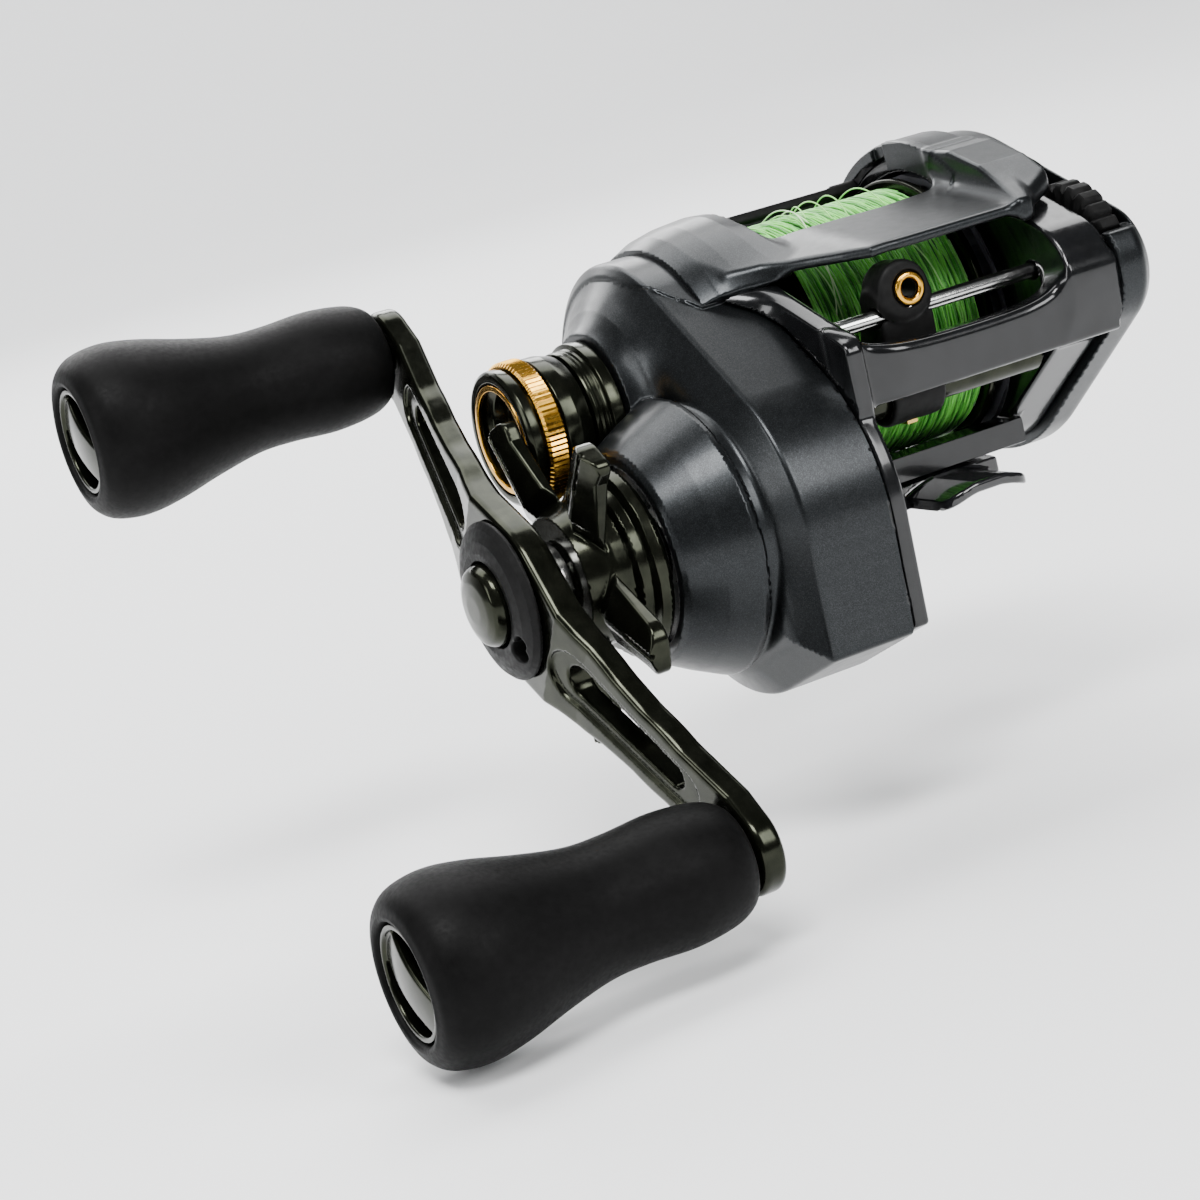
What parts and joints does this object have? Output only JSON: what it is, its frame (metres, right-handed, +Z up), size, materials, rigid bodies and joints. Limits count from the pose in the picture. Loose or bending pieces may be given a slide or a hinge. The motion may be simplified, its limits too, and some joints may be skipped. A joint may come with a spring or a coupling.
{
  "type": "baitcasting reel",
  "caption": "Low-profile baitcasting fishing reel with a double-knob handle, star drag, level-wind line guide, braided line on a spool and a removable palm-side plate.",
  "frame": {"origin": "middle of the crown of the foot's arched underside, between its two screws, where the foot rests on a rod seat", "axes": "+X along the spool axis towards the palm side, with the handle on the -X side; the line leaves towards -Y; +Z up, away from the rod seat"},
  "size_m": [0.1194, 0.0879, 0.074],
  "materials": {
    "graphite_paint": "satin graphite paint with fine metallic flake",
    "frame_alloy": "gloss black paint",
    "black_alloy": "polished black anodised",
    "gloss_black": "gloss black paint",
    "dark_steel": "dark satin steel",
    "matte_black": "matt moulded plastic",
    "grey_plastic": "moulded grey plastic",
    "rubber": "matt soft-touch rubber",
    "steel": "bright turned steel",
    "brass": "machined brass",
    "gold_anodised": "gold anodised alloy",
    "carbon_fibre": "woven carbon fibre",
    "green_braid": "braided line, layered crosswise"
  },
  "bodies": {
    "reel_body": {"frame": "frame_alloy", "reel_foot": "gloss_black", "foot_screw_1": "steel", "foot_screw_2": "steel", "handle_side_plate": "graphite_paint", "side_plate_screw_1": "steel", "side_plate_screw_2": "steel", "side_plate_screw_3": "steel", "hood": "graphite_paint", "frame_bearing": "steel", "pinion_bearing": "steel", "drive_shaft_bearing": "steel", "roller_clutch": "dark_steel", "cap_collar": "black_alloy", "yoke_spring_1": "steel", "yoke_spring_2": "steel", "worm_cover": "black_alloy", "guide_bar": "steel"},
    "handle": {"drive_shaft": "steel", "main_gear": "brass", "drag_washer": "carbon_fibre", "key_washer": "steel", "drag_spring": "steel", "clutch_sleeve": "steel", "arm_spacer": "steel", "handle_arm": "black_alloy", "hub_cover": "matte_black", "handle_nut": "black_alloy", "knob_shaft_upper": "steel", "knob_shaft_lower": "steel", "level_wind_gear": "grey_plastic"},
    "upper_knob": {"knob_upper": "rubber", "knob_cap_upper": "dark_steel"},
    "lower_knob": {"knob_lower": "rubber", "knob_cap_lower": "dark_steel"},
    "star": {"star_drag": "black_alloy"},
    "spool_group": {"spool": "black_alloy", "line_pack": "green_braid", "spool_shaft": "steel", "brake_hub": "grey_plastic", "brake_weight_1": "brass", "brake_weight_2": "brass"},
    "thumb_lever": {"thumb_bar": "matte_black"},
    "cam": {"clutch_cam": "grey_plastic"},
    "yoke": {"clutch_yoke": "grey_plastic"},
    "pinion_gear": {"pinion": "brass"},
    "worm": {"worm_shaft": "steel", "worm_gear": "grey_plastic"},
    "idler": {"idler_gear": "grey_plastic"},
    "carriage": {"line_guide": "matte_black", "line_eye": "gold_anodised", "pawl": "brass"},
    "cast_cap": {"cast_control_cap": "black_alloy", "cap_knurled_ring": "gold_anodised", "cap_trim_ring": "gold_anodised"},
    "palm_plate": {"palm_side_plate": "graphite_paint", "brake_case": "grey_plastic", "palm_bearing": "steel"},
    "dial": {"brake_dial": "matte_black"},
    "release": {"release_knob": "black_alloy"}
  },
  "joints": [
    {"name": "handle_spin", "type": "hinge", "parent": "reel_body", "child": "handle", "pos_m": [0, -0.0142, 0.0037], "axis": [1, 0, 0], "continuous": true},
    {"name": "knob_upper_spin", "type": "hinge", "parent": "handle", "child": "upper_knob", "pos_m": [0, 0.01821, 0.03042], "axis": [1, 0, 0], "continuous": true},
    {"name": "knob_lower_spin", "type": "hinge", "parent": "handle", "child": "lower_knob", "pos_m": [0, -0.04661, -0.02302], "axis": [1, 0, 0], "continuous": true},
    {"name": "star_drag_turn", "type": "hinge", "parent": "handle", "child": "star", "pos_m": [0, -0.0142, 0.0037], "axis": [1, 0, 0], "range_deg": [-180, 180]},
    {"name": "spool_spin", "type": "hinge", "parent": "reel_body", "child": "spool_group", "pos_m": [0, 0, 0.0188], "axis": [1, 0, 0], "continuous": true},
    {"name": "thumb_bar_press", "type": "slide", "parent": "reel_body", "child": "thumb_lever", "axis": [0, 0.7071, -0.7071], "range_m": [0, 0.0045]},
    {"name": "clutch_cam_turn", "type": "hinge", "parent": "reel_body", "child": "cam", "pos_m": [0, 0, 0.0188], "axis": [1, 0, 0], "range_deg": [-20, 2]},
    {"name": "yoke_slide", "type": "slide", "parent": "reel_body", "child": "yoke", "axis": [-1, 0, 0], "range_m": [-0.0001, 0.0017], "deforming": ["yoke_spring_1", "yoke_spring_2"]},
    {"name": "pinion_spin", "type": "hinge", "parent": "yoke", "child": "pinion_gear", "pos_m": [0, 0, 0.0188], "axis": [1, 0, 0], "continuous": true},
    {"name": "worm_spin", "type": "hinge", "parent": "reel_body", "child": "worm", "pos_m": [0, -0.02091, 0.01395], "axis": [1, 0, 0], "continuous": true},
    {"name": "idler_spin", "type": "hinge", "parent": "reel_body", "child": "idler", "pos_m": [0, -0.01831, 0.00998], "axis": [1, 0, 0], "continuous": true},
    {"name": "line_guide_travel", "type": "slide", "parent": "reel_body", "child": "carriage", "axis": [1, 0, 0], "range_m": [-0.0054, 0.0136]},
    {"name": "cast_control_turn", "type": "hinge", "parent": "reel_body", "child": "cast_cap", "pos_m": [0, 0, 0.0188], "axis": [1, 0, 0], "range_deg": [-180, 180]},
    {"name": "palm_plate_slide", "type": "slide", "parent": "reel_body", "child": "palm_plate", "axis": [1, 0, 0], "range_m": [0, 0.03]},
    {"name": "brake_dial_turn", "type": "hinge", "parent": "palm_plate", "child": "dial", "pos_m": [0, -0.021, 0.0234], "axis": [1, 0, 0], "range_deg": [0, 150]},
    {"name": "release_knob_turn", "type": "hinge", "parent": "palm_plate", "child": "release", "pos_m": [0, 0.0086, 0.0092], "axis": [1, 0, 0], "range_deg": [0, 90]}
  ],
  "couplings": [
    {"joint": "spool_spin", "follows": "handle_spin", "ratio": -8.5},
    {"joint": "pinion_spin", "follows": "handle_spin", "ratio": -8.5},
    {"joint": "idler_spin", "follows": "handle_spin", "ratio": -2},
    {"joint": "worm_spin", "follows": "handle_spin", "ratio": 2.2222},
    {"joint": "clutch_cam_turn", "follows": "thumb_bar_press", "rad_per_m": -65.6},
    {"joint": "yoke_slide", "follows": "thumb_bar_press", "ratio": 0.35556}
  ]
}
